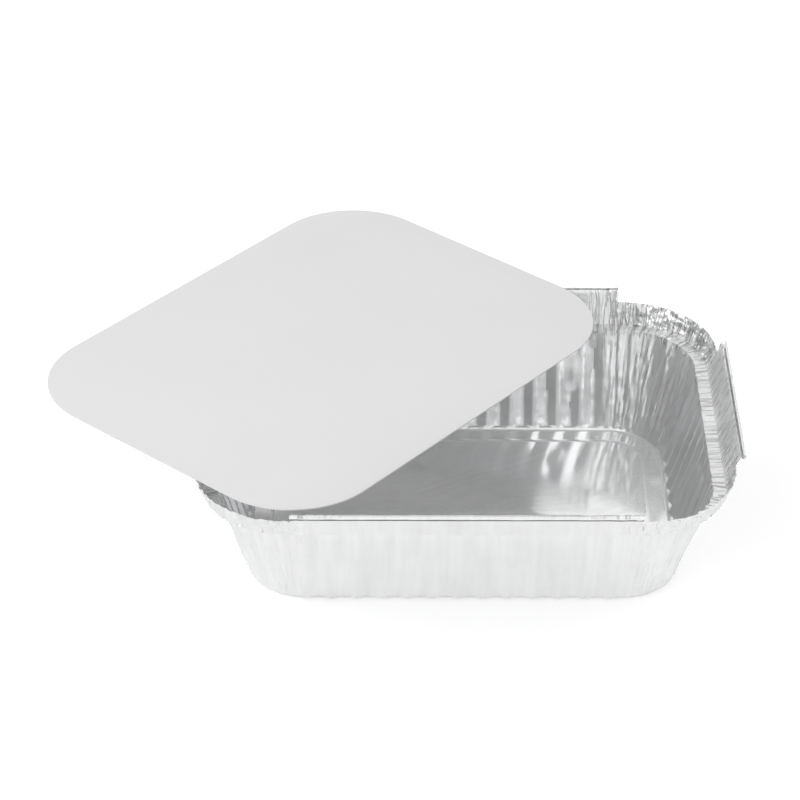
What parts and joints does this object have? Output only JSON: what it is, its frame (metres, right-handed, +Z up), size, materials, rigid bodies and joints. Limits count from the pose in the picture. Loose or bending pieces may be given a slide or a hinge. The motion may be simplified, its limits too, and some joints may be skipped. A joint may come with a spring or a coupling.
{
  "type": "foil food container",
  "caption": "Oblong pressed foil food tray with fluted walls, a flat flange, a leaning upstand with rolled curls on its straight sides, and a loose rounded card lid resting askew on it.",
  "frame": {"origin": "middle of the tray's flat underside, on the surface it stands on", "axes": "+X along the tray's long side, +Y along its short side, +Z up out of its mouth"},
  "size_m": [0.2891, 0.2409, 0.0603],
  "materials": {
    "foil": "bright, smooth rolled foil, finely creased at the corners",
    "card": "smooth matt white board"
  },
  "bodies": {
    "root": {"tray": "foil", "lid": "card"}
  },
  "joints": []
}
